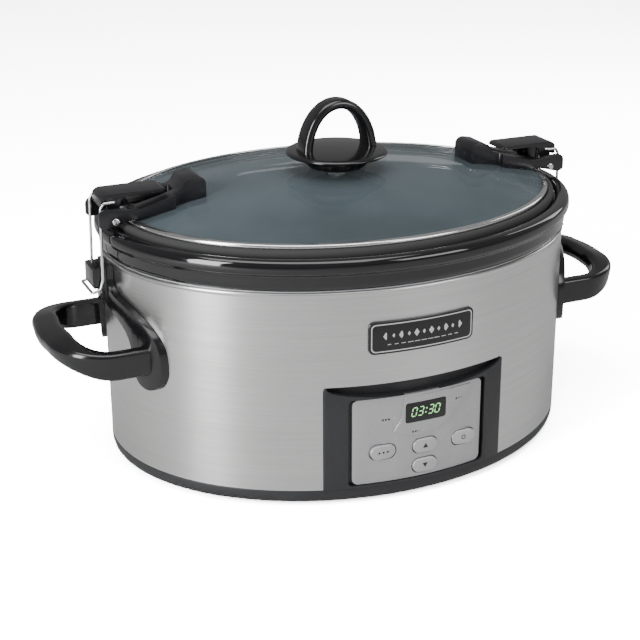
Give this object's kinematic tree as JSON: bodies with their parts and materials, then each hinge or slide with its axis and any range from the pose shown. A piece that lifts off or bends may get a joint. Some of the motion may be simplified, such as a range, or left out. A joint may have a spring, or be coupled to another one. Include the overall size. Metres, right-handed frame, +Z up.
{
  "type": "slow cooker",
  "caption": "Oval slow cooker with a steel-wrapped heating base, lift-out black crock, clip-down glass lid, side handles and a digital timer panel.",
  "frame": {"origin": "on the surface the cooker stands on, under the middle of its box", "axes": "+X along the long way across the handles, +Y towards the back (the panel faces -Y), +Z up"},
  "size_m": [0.431, 0.2736, 0.238],
  "materials": {
    "wrap_steel": "fine brushed lines running round the body",
    "rim_steel": "bright rolled edge",
    "glaze": "high-gloss black glaze",
    "glass": "clear tempered glass",
    "handle_black": "gloss moulded phenolic",
    "latch_black": "satin moulded nylon",
    "ring_grey": "fine-textured moulding",
    "fascia_silver": "metallic silver paint",
    "button_silver": "metallic silver paint with dark printed signs",
    "rubber_black": "moulded silicone",
    "bright_metal": "bright plated steel",
    "well_aluminium": "dull coated sheet",
    "heater_mica": "mica sheet in a metal sleeve",
    "board_green": "solder mask",
    "display_black": "polished black window with lit green digits",
    "indicator_lens": "translucent lens",
    "badge_black": "gloss plate with a fine silver line"
  },
  "bodies": {
    "base": {"base_tray": "ring_grey", "foot_front_left": "rubber_black", "foot_back_left": "rubber_black", "foot_front_right": "rubber_black", "foot_back_right": "rubber_black", "foot_screw_front_left": "bright_metal", "foot_screw_back_left": "bright_metal", "foot_screw_front_right": "bright_metal", "foot_screw_back_right": "bright_metal", "well_bolt": "bright_metal", "outer_wrap": "wrap_steel", "heating_well": "well_aluminium", "heater_band": "heater_mica", "heater_clamp": "bright_metal", "thermal_fuse": "bright_metal", "temperature_sensor": "bright_metal", "power_board": "board_green", "cord_gland": "rubber_black", "control_bezel": "ring_grey", "control_fascia": "fascia_silver", "display_window": "display_black", "display_module": "board_green", "control_board": "board_green", "indicator_high": "indicator_lens", "indicator_low": "indicator_lens", "indicator_warm": "indicator_lens", "nameplate": "badge_black", "side_handle_left": "handle_black", "side_handle_right": "handle_black", "handle_screw_left_front": "bright_metal", "handle_screw_left_back": "bright_metal", "handle_screw_right_front": "bright_metal", "handle_screw_right_back": "bright_metal"},
    "pot": {"crock": "glaze"},
    "lid": {"lid_glass": "glass", "lid_rim": "rim_steel", "lid_gasket": "rubber_black", "lid_handle": "handle_black", "lid_handle_washer": "rubber_black", "lid_handle_screw": "bright_metal", "latch_bracket_left": "latch_black", "latch_bracket_right": "latch_black", "bracket_screw_left": "bright_metal", "bracket_screw_right": "bright_metal", "hinge_pin_left": "bright_metal", "hinge_pin_right": "bright_metal"},
    "lever_left": {"latch_lever_left": "latch_black"},
    "lever_right": {"latch_lever_right": "latch_black"},
    "bail_left": {"latch_bail_left": "bright_metal"},
    "bail_right": {"latch_bail_right": "bright_metal"},
    "select_key": {"button_select": "button_silver"},
    "up_key": {"button_up": "button_silver"},
    "down_key": {"button_down": "button_silver"},
    "off_key": {"button_off": "button_silver"}
  },
  "joints": [
    {"name": "crock_lift", "type": "slide", "parent": "base", "child": "pot", "axis": [0, 0, 1], "range_m": [0, 0.16]},
    {"name": "lid_lift", "type": "slide", "parent": "pot", "child": "lid", "axis": [0, 0, 1], "range_m": [0, 0.1]},
    {"name": "lever_left_turn", "type": "hinge", "parent": "lid", "child": "lever_left", "pos_m": [-0.1625, 0, 0.1752], "axis": [0, -1, 0], "range_deg": [0, 85]},
    {"name": "bail_left_swing", "type": "hinge", "parent": "lever_left", "child": "bail_left", "pos_m": [-0.1615, 0, 0.187], "axis": [0, -1, 0], "range_deg": [-114, 0]},
    {"name": "lever_right_turn", "type": "hinge", "parent": "lid", "child": "lever_right", "pos_m": [0.1625, 0, 0.1752], "axis": [0, 1, 0], "range_deg": [0, 85]},
    {"name": "bail_right_swing", "type": "hinge", "parent": "lever_right", "child": "bail_right", "pos_m": [0.1615, 0, 0.187], "axis": [0, 1, 0], "range_deg": [-114, 0]},
    {"name": "select_press", "type": "slide", "parent": "base", "child": "select_key", "axis": [0, 1, 0], "range_m": [0, 0.0008], "stiffness_N_per_m": 300},
    {"name": "up_press", "type": "slide", "parent": "base", "child": "up_key", "axis": [0, 1, 0], "range_m": [0, 0.0008], "stiffness_N_per_m": 300},
    {"name": "down_press", "type": "slide", "parent": "base", "child": "down_key", "axis": [0, 1, 0], "range_m": [0, 0.0008], "stiffness_N_per_m": 300},
    {"name": "off_press", "type": "slide", "parent": "base", "child": "off_key", "axis": [0, 1, 0], "range_m": [0, 0.0008], "stiffness_N_per_m": 300}
  ],
  "couplings": [
    {"joint": "bail_left_swing", "follows": "lever_left_turn", "ratio": -1.3333},
    {"joint": "bail_right_swing", "follows": "lever_right_turn", "ratio": -1.3333}
  ]
}
